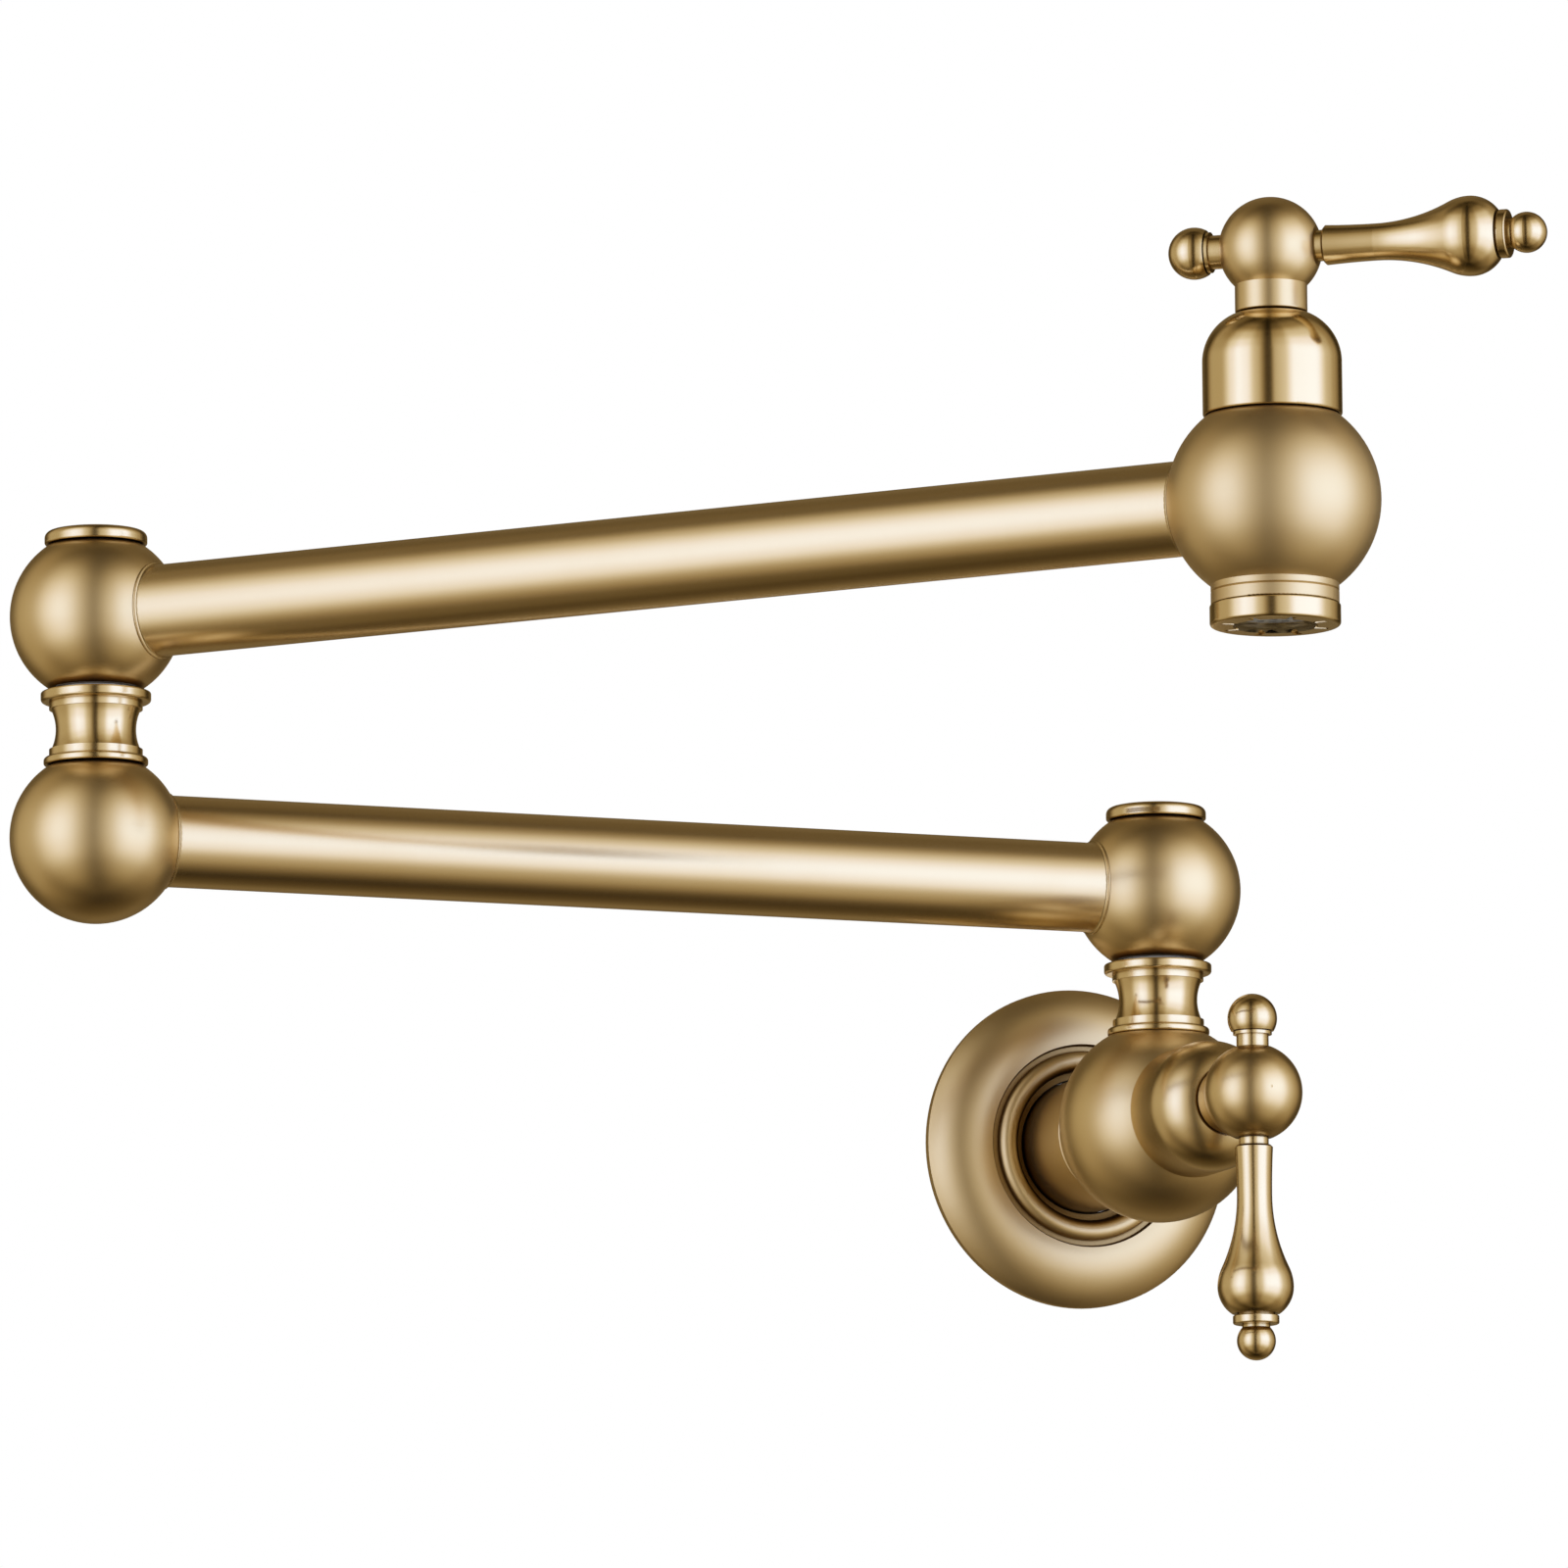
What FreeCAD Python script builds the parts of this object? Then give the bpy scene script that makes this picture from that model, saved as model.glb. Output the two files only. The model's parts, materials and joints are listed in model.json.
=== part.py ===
"""Wall mounted pot filler: two swing arms on ball joints, a lever valve at the wall and one at the spout.

Millimetres. The wall is the plane Y = 0, the object stands out towards -Y, +Z is up, and the origin is
where the water inlet's axis meets the wall.
"""
import FreeCAD
import Part
import Sketcher
import math
import os
from types import SimpleNamespace

DIMENSIONS = {
    # where the joints are
    "wall_offset": 55.0,
    "arm_1_length": 274.4,
    "arm_2_length": 313.7,
    "arm_1_angle": 180.0,
    "arm_2_angle": -49.4,
    "spout_lever_angle": -37.8,
    # brazed arm tubes
    "tube_radius": 11.0,
    "tube_wall": 1.5,
    "braze_gap": 0.05,
    # ball joints of the arms
    "joint_ball_radius": 20.6,
    "joint_flat_drop": 3.2,
    "joint_socket": 13.0,
    "spout_socket": 16.0,
    "joint_chamber_radius": 9.6,
    "port_radius": 4.6,
    # swivel posts
    "spool_length": 18.6,
    "spool_flange_radius": 13.2,
    "spool_flange_height": 4.2,
    "spool_foot_radius": 12.5,
    "spool_foot_height": 3.8,
    "spool_waist_radius": 9.6,
    "spool_waist_sag": 1.1,
    "post_radius": 7.5,
    "post_bore": 4.5,
    "post_thread_depth": 8.0,
    "running_gap": 0.05,
    "cross_hole_radius": 2.2,
    "o_ring_section": 0.8,
    "o_ring_gap": 0.02,
    "groove_half": 1.05,
    "glide_washer_thickness": 0.8,
    "circlip_thickness": 1.2,
    "circlip_radius": 9.0,
    "circlip_groove": 1.0,
    "circlip_gap": 2.0,
    # caps on the ball joints
    "cap_radius": 12.3,
    "cap_height": 3.2,
    "cap_edge": 1.6,
    "cap_stem_depth": 3.0,
    # valve balls, cartridge sockets and the inlet shank
    "valve_ball_radius": 24.6,
    "valve_face_drop": 5.3,
    "valve_side_drop": 3.2,
    "seat_level": -6.0,
    "seat_hole_radius": 5.0,
    "seat_floor": 2.0,
    "seat_seal_thickness": 1.5,
    "chamber_radius": 9.3,
    "thread_level": 10.0,
    "thread_radius": 10.5,
    "shank_radius": 16.6,
    "seam_from_ball": 6.0,
    "seam_width": 0.6,
    "seam_depth": 0.35,
    "inlet_radius": 9.3,
    "inlet_depth": 15.0,
    "strainer_seat_radius": 8.5,
    "strainer_seat_depth": 3.0,
    "passage_radius": 6.5,
    "inlet_washer_thickness": 1.5,
    "strainer_hole_radius": 0.75,
    "strainer_hole_pitch": 2.5,
    # ceramic cartridge
    "cage_wall": 1.0,
    "disc_thickness": 3.0,
    "disc_hole_radius": 2.0,
    "disc_hole_offset": 4.6,
    "hex_radius": 12.5,
    "hex_height": 5.0,
    "barrel_radius": 7.0,
    "barrel_length": 18.7,
    "spindle_radius": 4.0,
    "spindle_flange_top": 6.0,
    "spindle_seal_rise": 10.7,
    "clip_thickness": 1.0,
    "clip_radius": 6.2,
    # bonnets
    "bonnet_radius": 16.0,
    "bonnet_wall": 1.8,
    "bonnet_straight": 12.4,
    "bonnet_dome_radius": 12.0,
    # lever handles
    "hub_rise": 15.0,
    "hub_radius": 11.9,
    "neck_radius": 8.3,
    "handle_gap": 0.4,
    "spindle_end_drop": 4.6,
    "hub_flat": 10.9,
    "stud_radius": 2.5,
    "stud_start": 6.2,
    "lever_neck_radius": 3.6,
    "lever_neck_length": 1.9,
    "lever_root_radius": 4.6,
    "lever_waist_radius": 4.25,
    "lever_waist_at": 25.0,
    "lever_bulge_radius": 9.2,
    "lever_bulge_at": 47.2,
    "lever_bulge_curve": 11.0,
    "lever_shoulder_radius": 5.8,
    "lever_collar_radius": 5.6,
    "lever_collar_at": 54.2,
    "lever_collar_width": 2.1,
    "lever_tip_neck_radius": 3.4,
    "lever_tip_radius": 4.7,
    "lever_end": 65.0,
    "finial_neck_radius": 3.9,
    "finial_collar_radius": 4.7,
    "finial_collar_at": 14.0,
    "finial_collar_width": 0.7,
    "finial_radius": 6.0,
    "finial_end": 24.0,
    "set_screw_radius": 2.0,
    "set_screw_drop": 11.6,
    # escutcheon against the wall
    "escutcheon_radius": 39.8,
    "escutcheon_rim": 1.9,
    "escutcheon_land": 2.0,
    "dome_height": 8.8,
    "dome_sag": 2.1,
    "escutcheon_wall": 1.8,
    "bead_valley": 1.7,
    "bead_width": 5.1,
    "bead_height": 10.6,
    "bead_crown": 2.5,
    "bead_depth": 3.6,
    "bead_recess": 1.6,
    "collar_bore_gap": 0.4,
    "collar_back": 1.0,
    "collar_skirt": 3.0,
    "collar_seal_level": 4.6,
    "gasket_width": 4.5,
    "gasket_thickness": 1.2,
    # spout outlet and aerator
    "outlet_radius": 14.7,
    "outlet_drop": 4.7,
    "outlet_groove_up": 2.8,
    "outlet_thread_radius": 12.0,
    "outlet_thread_top": 14.0,
    "aerator_radius": 15.0,
    "aerator_height": 4.9,
    "aerator_wall": 1.6,
    "aerator_lip": 1.3,
    "notch_radius": 0.8,
    "notch_length": 2.4,
    "aerator_gasket_thickness": 2.0,
    "aerator_insert_drop": 1.2,
    "aerator_insert_height": 5.0,
    "aerator_hole_radius": 0.95,
    "aerator_hole_edge": 1.9,
    # small breaks on turned edges
    "edge": 0.5,
}

KEY_NOTCHES = 8
INSIDE_JOINT = {
    # levels inside a ball joint, as shares of the ball's flat
    "chamber_half": 0.287,
    "high_seal": 0.431,
    "shoulder": 0.575,
    "low_seal": 0.644,
    "post_top": 0.759,
}

doc = FreeCAD.newDocument("pot_filler")


class Size:
    """A length, with its value and the sheet expression that gives it."""

    def __init__(self, value, text):
        self.value = float(value)
        self.text = text

    def join(self, sign, other, value):
        return Size(value, f"({self.text} {sign} {as_size(other).text})")

    def __add__(self, other):
        return self.join("+", other, self.value + as_size(other).value)

    def __sub__(self, other):
        return self.join("-", other, self.value - as_size(other).value)

    def __mul__(self, other):
        return self.join("*", other, self.value * as_size(other).value)

    def __truediv__(self, other):
        return self.join("/", other, self.value / as_size(other).value)

    def __neg__(self):
        return Size(-self.value, f"(0 - {self.text})")


def as_size(number):
    return number if isinstance(number, Size) else Size(number, repr(float(number)))


def root(size):
    return Size(math.sqrt(size.value), f"sqrt({size.text})")


def cosine(angle):
    return Size(math.cos(math.radians(angle.value)), f"cos({angle.text})")


def sine(angle):
    return Size(math.sin(math.radians(angle.value)), f"sin({angle.text})")


def level_on_ball(ball_radius, radius):
    """How far from a ball's centre its surface has this radius about the axis."""
    return root(ball_radius * ball_radius - radius * radius)


def crest_radius(across, rise):
    """The radius of an arc that starts square to the rise and ends this far across."""
    return (across * across + rise * rise) / (rise * 2)


def sagged(across, rise, sag):
    """The radius of an arc that bulges this far from its chord."""
    return ((across * across + rise * rise) / 4 + sag * sag) / (sag * 2)


def make_sheet():
    sheet = doc.addObject("Spreadsheet::Sheet", "Sizes")
    for row, (alias, value) in enumerate(DIMENSIONS.items(), start=1):
        sheet.set(f"A{row}", alias)
        sheet.set(f"B{row}", str(value))
        sheet.setAlias(f"B{row}", alias)
    doc.recompute()
    return SimpleNamespace(**{alias: Size(value, f"Sizes.{alias}") for alias, value in DIMENSIONS.items()})


s = make_sheet()
ZERO = as_size(0)
CLEAR = as_size(1)


class Arc:
    """An outline's arc to (radius, level). left is True where it turns left on its way there."""

    def __init__(self, radius, level, curve, left):
        self.point = (as_size(radius), as_size(level))
        self.curve = curve
        self.left = left


class Corner:
    """A square corner at (radius, level) with a small rounding."""

    def __init__(self, radius, level, curve=s.edge):
        self.point = (as_size(radius), as_size(level))
        self.curve = curve


def point_of(item):
    return item.point if isinstance(item, (Arc, Corner)) else (as_size(item[0]), as_size(item[1]))


def toward(corner, neighbour, distance):
    """The point this far from a corner towards a neighbour that lies square to it."""
    across = neighbour[0].value - corner[0].value
    along = neighbour[1].value - corner[1].value
    if abs(across) > abs(along):
        return (corner[0] + distance if across > 0 else corner[0] - distance, corner[1])
    return (corner[0], corner[1] + distance if along > 0 else corner[1] - distance)


def with_corners(outline):
    """The outline with each rounded corner as a point and an arc."""
    plain = []
    for index, item in enumerate(outline):
        if not isinstance(item, Corner):
            plain.append(item)
            continue
        before = point_of(outline[index - 1])
        after = point_of(outline[(index + 1) % len(outline)])
        first = toward(item.point, before, item.curve)
        second = toward(item.point, after, item.curve)
        into = (item.point[0].value - before[0].value, item.point[1].value - before[1].value)
        out = (after[0].value - item.point[0].value, after[1].value - item.point[1].value)
        plain.append(first)
        plain.append(Arc(*second, item.curve, into[0] * out[1] - into[1] * out[0] > 0))
    return plain


def arc_between(start, end, radius, left):
    """A sketch arc under a half circle from start to end."""
    chord = end - start
    half = chord.Length / 2
    side = FreeCAD.Vector(-chord.y, chord.x, 0).normalize() * (1 if left else -1)
    centre = (start + end) / 2 + side * math.sqrt(max(radius * radius - half * half, 0))
    angles = [math.atan2(p.y - centre.y, p.x - centre.x) for p in (start, end)]
    first, last = angles if left else reversed(angles)
    circle = Part.Circle(centre, FreeCAD.Vector(0, 0, 1), radius)
    return Part.ArcOfCircle(circle, first, last)


def draw(sketch, outline, along_x):
    """Draws a closed outline and ties each of its points and arcs to the sheet."""
    items = with_corners(outline)
    points = [point_of(item)[::-1] if along_x else point_of(item) for item in items]
    spots = [FreeCAD.Vector(p[0].value, p[1].value, 0) for p in points]
    rules = []
    ties = []
    starts = []
    for index, spot in enumerate(spots):
        following = (index + 1) % len(items)
        target = items[following]
        first_end = 1
        if isinstance(target, Arc):
            left = target.left != along_x
            sketch.addGeometry(arc_between(spot, spots[following], target.curve.value, left), False)
            ties.append(("Radius", index, None, target.curve))
            first_end = 1 if left else 2
        else:
            sketch.addGeometry(Part.LineSegment(spot, spots[following]), False)
        starts.append(first_end)
    for index, first_end in enumerate(starts):
        following = (index + 1) % len(starts)
        rules.append(Sketcher.Constraint("Coincident", index, 3 - first_end, following, starts[following]))
        ties.append(("DistanceX", index, first_end, points[index][0]))
        ties.append(("DistanceY", index, first_end, points[index][1]))
    sketch.addConstraint(rules)
    bind(sketch, ties)


def bind(sketch, ties):
    """Adds dimensions to a sketch, each tied to its expression."""
    for kind, item, end, size in ties:
        if kind == "Radius":
            number = sketch.addConstraint(Sketcher.Constraint(kind, item, size.value))
        else:
            number = sketch.addConstraint(Sketcher.Constraint(kind, -1, 1, item, end, size.value))
        sketch.setExpression(f"Constraints[{number}]", size.text)


def sketch_in(body, name, plane):
    """An empty sketch on one of the body's own origin planes."""
    sketch = body.newObject("Sketcher::SketchObject", name)
    origin = next(o for o in body.Origin.OriginFeatures if o.Role == plane)
    sketch.AttachmentSupport = [(origin, "")]
    sketch.MapMode = "FlatFace"
    return sketch


class Frame:
    """Where a group of pieces sits: a point, and a turn about +Z."""

    def __init__(self, x, y, z, angle=ZERO):
        self.x, self.y, self.z, self.angle = x, y, z, angle

    def put(self, piece):
        piece.Placement = FreeCAD.Placement(
            FreeCAD.Vector(self.x.value, self.y.value, self.z.value),
            FreeCAD.Rotation(FreeCAD.Vector(0, 0, 1), self.angle.value),
        )
        for name in ("x", "y", "z"):
            piece.setExpression(f"Placement.Base.{name}", getattr(self, name).text)
        if self.angle.text.startswith("Sizes"):
            piece.setExpression("Placement.Rotation.Angle", self.angle.text)


class WallFrame(Frame):
    """The wall valve's frame: its +Z points away from the wall, its +X down."""

    def put(self, piece):
        out, down = FreeCAD.Vector(0, -1, 0), FreeCAD.Vector(0, 0, -1)
        piece.Placement = FreeCAD.Placement(
            FreeCAD.Vector(self.x.value, self.y.value, self.z.value),
            FreeCAD.Rotation(down, out.cross(down), out, "ZXY"),
        )
        for name in ("x", "y", "z"):
            piece.setExpression(f"Placement.Base.{name}", getattr(self, name).text)


PARTS = []


def keep(piece, label, frame):
    piece.Label = label
    frame.put(piece)
    PARTS.append(piece)
    return piece


def turned(label, outline, frame, along_x=False):
    """A piece turned on a lathe: an outline of (radius, level) about +Z, or about +X."""
    body = doc.addObject("PartDesign::Body", label)
    sketch = sketch_in(body, label + "_outline", "XZ_Plane")
    draw(sketch, outline, along_x)
    turn = body.newObject("PartDesign::Revolution", label + "_turned")
    turn.Profile = sketch
    turn.ReferenceAxis = (sketch, ["H_Axis" if along_x else "V_Axis"])
    turn.Angle = 360
    sketch.Visibility = False
    return keep(body, label, frame)


def bore(body, name, outline, along_x=True):
    """Cuts a round stepped hole, given as (radius, level) along the body's X or Z."""
    sketch = sketch_in(body, name, "XZ_Plane")
    draw(sketch, outline, along_x)
    doc.recompute()
    cut = body.newObject("PartDesign::Groove", name + "_cut")
    cut.Profile = sketch
    cut.ReferenceAxis = (sketch, ["H_Axis" if along_x else "V_Axis"])
    cut.Angle = 360
    sketch.Visibility = False
    return cut


def repeat(body, feature, count, angle):
    """Repeats a cut about the body's Z axis."""
    doc.recompute()
    pattern = body.newObject("PartDesign::PolarPattern", feature.Name + "_pattern")
    pattern.Originals = [feature]
    pattern.Axis = (feature.Profile[0], ["V_Axis" if feature.TypeId.endswith("Groove") else "N_Axis"])
    pattern.Angle = angle
    pattern.Occurrences = count
    body.Tip = pattern
    return pattern


def drill(body, name, offset, radius):
    """Cuts a round hole right through the body along Z, this far from its axis."""
    sketch = sketch_in(body, name, "XY_Plane")
    centre = FreeCAD.Vector(offset.value, 0, 0)
    sketch.addGeometry(Part.Circle(centre, FreeCAD.Vector(0, 0, 1), radius.value), False)
    bind(sketch, [("Radius", 0, None, radius), ("DistanceX", 0, 3, offset), ("DistanceY", 0, 3, ZERO)])
    doc.recompute()
    cut = body.newObject("PartDesign::Pocket", name + "_cut")
    cut.Profile = sketch
    cut.SideType = "Symmetric"
    cut.Type = "ThroughAll"
    sketch.Visibility = False
    return cut


def tube_shape(radius, hole, low, high):
    """The outline of a plain ring or tube."""
    return [(hole, low), (radius, low), (radius, high), (hole, high)]


def disc_shape(radius, low, high):
    """The outline of a plain disc."""
    return [(ZERO, low), (radius, low), (radius, high), (ZERO, high)]


def soft_ring(label, ring_radius, section, level, frame):
    """A round seal ring about +Z."""
    ring = doc.addObject("Part::Torus", label)
    ring.setExpression("Radius1", ring_radius.text)
    ring.setExpression("Radius2", section.text)
    return keep(ring, label, Raised(frame, level))


class Raised:
    """A frame moved along its own +Z."""

    def __init__(self, frame, level):
        self.frame, self.level = frame, level

    def put(self, piece):
        self.frame.put(piece)
        axis = "y" if isinstance(self.frame, WallFrame) else "z"
        start = getattr(self.frame, axis)
        moved = start - self.level if axis == "y" else start + self.level
        piece.setExpression(f"Placement.Base.{axis}", moved.text)


# ---------------------------------------------------------------- places of the joints

joint_flat = s.joint_ball_radius - s.joint_flat_drop
valve_side_flat = s.valve_ball_radius - s.valve_side_drop
level_1 = valve_side_flat + s.spool_length + joint_flat
level_2 = level_1 + joint_flat * 2 + s.spool_length
wall_y = -s.wall_offset
elbow_x = cosine(s.arm_1_angle) * s.arm_1_length
elbow_y = sine(s.arm_1_angle) * s.arm_1_length + wall_y
spout_x = elbow_x + cosine(s.arm_2_angle) * s.arm_2_length
spout_y = elbow_y + sine(s.arm_2_angle) * s.arm_2_length

WALL = WallFrame(ZERO, ZERO, ZERO)
WALL_VALVE = WallFrame(ZERO, wall_y, ZERO)
WALL_SWIVEL = Frame(ZERO, wall_y, level_1)
ARM_1 = Frame(ZERO, wall_y, level_1, s.arm_1_angle)
ARM_1_END = Frame(elbow_x, elbow_y, level_1, s.arm_1_angle)
ELBOW_SWIVEL = Frame(elbow_x, elbow_y, level_2)
ARM_2 = Frame(elbow_x, elbow_y, level_2, s.arm_2_angle)
SPOUT = Frame(spout_x, spout_y, level_2, s.arm_2_angle)
SPOUT_VALVE = Frame(spout_x, spout_y, level_2, s.spout_lever_angle)

joint_bore = s.post_radius + s.running_gap
flat_edge = level_on_ball(s.joint_ball_radius, joint_flat)
inside = SimpleNamespace(**{name: joint_flat * share for name, share in INSIDE_JOINT.items()})


# ---------------------------------------------------------------- arms

def tube_socket(ball_radius, socket, chamber):
    """The stepped side hole that a tube is brazed into."""
    hole = s.tube_radius + s.braze_gap
    return [(ZERO, chamber), (s.port_radius, chamber), (s.port_radius, socket), (hole, socket),
            (hole, ball_radius + CLEAR), (ZERO, ball_radius + CLEAR)]


def swivel_ball(label, frame):
    """The ball that turns on a swivel post, with its water chamber and the hole for the cap above."""
    outline = [
        (joint_bore, -joint_flat),
        (flat_edge, -joint_flat),
        Arc(flat_edge, joint_flat, s.joint_ball_radius, True),
        (s.joint_chamber_radius, joint_flat),
        (s.joint_chamber_radius, inside.shoulder),
        (joint_bore, inside.shoulder),
        (joint_bore, inside.chamber_half),
        (s.joint_chamber_radius, inside.chamber_half),
        (s.joint_chamber_radius, -inside.chamber_half),
        (joint_bore, -inside.chamber_half),
    ]
    ball = turned(label, outline, frame)
    bore(ball, label + "_socket", tube_socket(s.joint_ball_radius, s.joint_socket, s.post_radius))
    return ball


def arm_tube(label, length, end_socket, frame):
    low = s.joint_socket + s.braze_gap
    high = length - end_socket - s.braze_gap
    wall = tube_shape(s.tube_radius, s.tube_radius - s.tube_wall, low, high)
    return turned(label, wall, frame, along_x=True)


def joint_cap(label, frame):
    """The button that screws into the top of a swivel ball."""
    stem = s.joint_chamber_radius - s.running_gap
    seat = joint_flat + s.running_gap
    top = seat + s.cap_height
    outline = [
        (ZERO, seat - s.cap_stem_depth + s.edge * 2),
        (stem - s.tube_wall, seat - s.cap_stem_depth + s.edge * 2),
        (stem - s.tube_wall, seat - s.cap_stem_depth),
        (stem, seat - s.cap_stem_depth),
        (stem, seat),
        Corner(s.cap_radius, seat),
        Corner(s.cap_radius, top, s.cap_edge),
        (ZERO, top),
    ]
    return turned(label, outline, frame)


def elbow_ball():
    """The ball at the end of the lower arm, threaded on top for the elbow post."""
    floor = joint_flat - s.post_thread_depth - s.edge
    outline = [
        (ZERO, -s.joint_ball_radius),
        Arc(flat_edge, joint_flat, s.joint_ball_radius, True),
        (joint_bore, joint_flat),
        (joint_bore, floor),
        (s.post_bore, floor),
        (s.post_bore, ZERO),
        (ZERO, ZERO),
    ]
    ball = turned("elbow_ball", with_equator(outline), ARM_1_END)
    bore(ball, "elbow_ball_socket", backwards(tube_socket(s.joint_ball_radius, s.joint_socket, ZERO)))
    return ball


def with_equator(outline):
    """Splits a ball's long arc at its equator, so that each arc is under a half circle."""
    arc = outline[1]
    return [outline[0], Arc(arc.curve, ZERO, arc.curve, True), arc] + outline[2:]


def backwards(outline):
    """The same outline along the opposite direction."""
    return [(radius, -as_size(level)) for radius, level in outline]


# ---------------------------------------------------------------- swivel posts

def swivel_post(name, frame):
    """The hollow post that carries a swivel ball, with its seals, washers, circlip and visible spool."""
    foot = -(joint_flat + s.spool_length)
    glide = -(joint_flat + s.running_gap)
    seat = glide - s.glide_washer_thickness - s.running_gap
    waist_low = foot + s.spool_foot_height
    waist_high = seat - s.spool_flange_height
    sag = s.spool_waist_sag
    half = (waist_high - waist_low) / 2
    waist = (half * half + sag * sag) / (sag * 2)
    waist_edge = s.spool_waist_radius + sag
    groove = s.post_radius + s.running_gap - s.o_ring_gap - s.o_ring_section * 2 - s.o_ring_gap
    clip_low = inside.shoulder + s.glide_washer_thickness + s.running_gap * 2
    clip_high = clip_low + s.circlip_thickness + s.running_gap
    clip_groove = s.post_radius - s.circlip_groove

    def seal_groove(level):
        return [(s.post_radius, level - s.groove_half), (groove, level - s.groove_half),
                (groove, level + s.groove_half), (s.post_radius, level + s.groove_half)]

    outline = [
        (s.post_bore, foot - s.post_thread_depth),
        (s.post_radius, foot - s.post_thread_depth),
        (s.post_radius, foot),
        Corner(s.spool_foot_radius, foot),
        Corner(s.spool_foot_radius, foot + s.spool_foot_height * 0.5, s.edge * 1.6),
        (waist_edge + s.edge, foot + s.spool_foot_height * 0.5),
        (waist_edge + s.edge, waist_low),
        (waist_edge, waist_low),
        Arc(waist_edge, waist_high, waist, False),
        (waist_edge + s.edge, waist_high),
        (waist_edge + s.edge, seat - s.spool_flange_height * 0.6),
        Corner(s.spool_flange_radius, seat - s.spool_flange_height * 0.6, s.edge * 1.6),
        Corner(s.spool_flange_radius, seat),
        (s.post_radius, seat),
        *seal_groove(-inside.low_seal),
        *seal_groove(inside.high_seal),
        (s.post_radius, clip_low),
        (clip_groove, clip_low),
        (clip_groove, clip_high),
        (s.post_radius, clip_high),
        (s.post_radius, inside.post_top),
        (ZERO, inside.post_top),
        (ZERO, inside.chamber_half),
        (s.post_bore, inside.chamber_half),
    ]
    post = turned(name + "_post", outline, frame)
    reach = s.post_radius + CLEAR
    hole = bore(post, name + "_cross_hole", disc_shape(s.cross_hole_radius, -reach, reach))
    repeat(post, hole, 2, 90)

    ring_radius = s.post_radius + s.running_gap - s.o_ring_gap - s.o_ring_section
    seals = []
    for word, level in (("low", -inside.low_seal), ("high", inside.high_seal)):
        ring = doc.addObject("Part::Torus", f"{name}_{word}_seal")
        ring.setExpression("Radius1", ring_radius.text)
        ring.setExpression("Radius2", s.o_ring_section.text)
        ring.setExpression("Placement.Base.z", level.text)
        seals.append(ring)
    pair = doc.addObject("Part::Compound", name + "_post_seals")
    pair.Links = seals
    keep(pair, name + "_post_seals", frame)

    snug = s.post_radius + s.running_gap
    turned(name + "_glide_washer",
           tube_shape(s.circlip_radius + s.edge, snug, seat + s.running_gap / 2, glide), frame)
    rest = inside.shoulder + s.running_gap
    turned(name + "_thrust_washer",
           tube_shape(s.circlip_radius, snug, rest, rest + s.glide_washer_thickness), frame)
    clip = turned(name + "_circlip",
                  tube_shape(s.circlip_radius, clip_groove + s.o_ring_gap, clip_low + s.running_gap / 2,
                             clip_high - s.running_gap / 2), frame)
    slot(clip, name + "_circlip_gap", s.circlip_radius + CLEAR, s.circlip_gap)


def slot(body, name, reach, width):
    """Cuts a slot through one side of a ring, along +X."""
    sketch = sketch_in(body, name, "XY_Plane")
    half = width / 2
    spots = [(ZERO, -half), (reach, -half), (reach, half), (ZERO, half)]
    for index, spot in enumerate(spots):
        after = spots[(index + 1) % 4]
        sketch.addGeometry(Part.LineSegment(FreeCAD.Vector(spot[0].value, spot[1].value, 0),
                                            FreeCAD.Vector(after[0].value, after[1].value, 0)), False)
    sketch.addConstraint([Sketcher.Constraint("Coincident", i, 2, (i + 1) % 4, 1) for i in range(4)])
    bind(sketch, [tie for i, spot in enumerate(spots)
                  for tie in (("DistanceX", i, 1, spot[0]), ("DistanceY", i, 1, spot[1]))])
    doc.recompute()
    cut = body.newObject("PartDesign::Pocket", name + "_cut")
    cut.Profile = sketch
    cut.SideType = "Symmetric"
    cut.Type = "ThroughAll"
    sketch.Visibility = False


# ---------------------------------------------------------------- valves

valve_face = s.valve_ball_radius - s.valve_face_drop
barrel_top = valve_face + s.barrel_length
spindle_seal_level = valve_face + s.spindle_seal_rise
cage_radius = s.chamber_radius - s.running_gap
seal_top = s.seat_level + s.seat_seal_thickness
lower_disc_top = seal_top + s.disc_thickness
upper_disc_top = lower_disc_top + s.disc_thickness
disc_radius = cage_radius - s.cage_wall - s.running_gap
hex_top = valve_face + s.hex_height
bonnet_base = valve_face + s.running_gap * 4
dome_base = bonnet_base + s.bonnet_straight
dome_centre = s.bonnet_radius - s.bonnet_dome_radius
bonnet_lip = s.neck_radius + s.handle_gap
bonnet_top = dome_base + level_on_ball(s.bonnet_dome_radius, bonnet_lip - dome_centre)
neck_base = bonnet_top + s.handle_gap
hub_level = neck_base + s.hub_rise
spindle_top = hub_level - s.spindle_end_drop
outlet_end = level_on_ball(s.valve_ball_radius, s.outlet_radius) + s.outlet_drop
aerator_end = outlet_end + s.aerator_height


def valve_socket():
    """The cartridge socket, from the seat hole's rim up to the valve ball's face."""
    return [
        (s.thread_radius, valve_face),
        (s.thread_radius, s.thread_level),
        (s.chamber_radius, s.thread_level),
        (s.chamber_radius, s.seat_level),
        (s.seat_hole_radius, s.seat_level),
    ]


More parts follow.
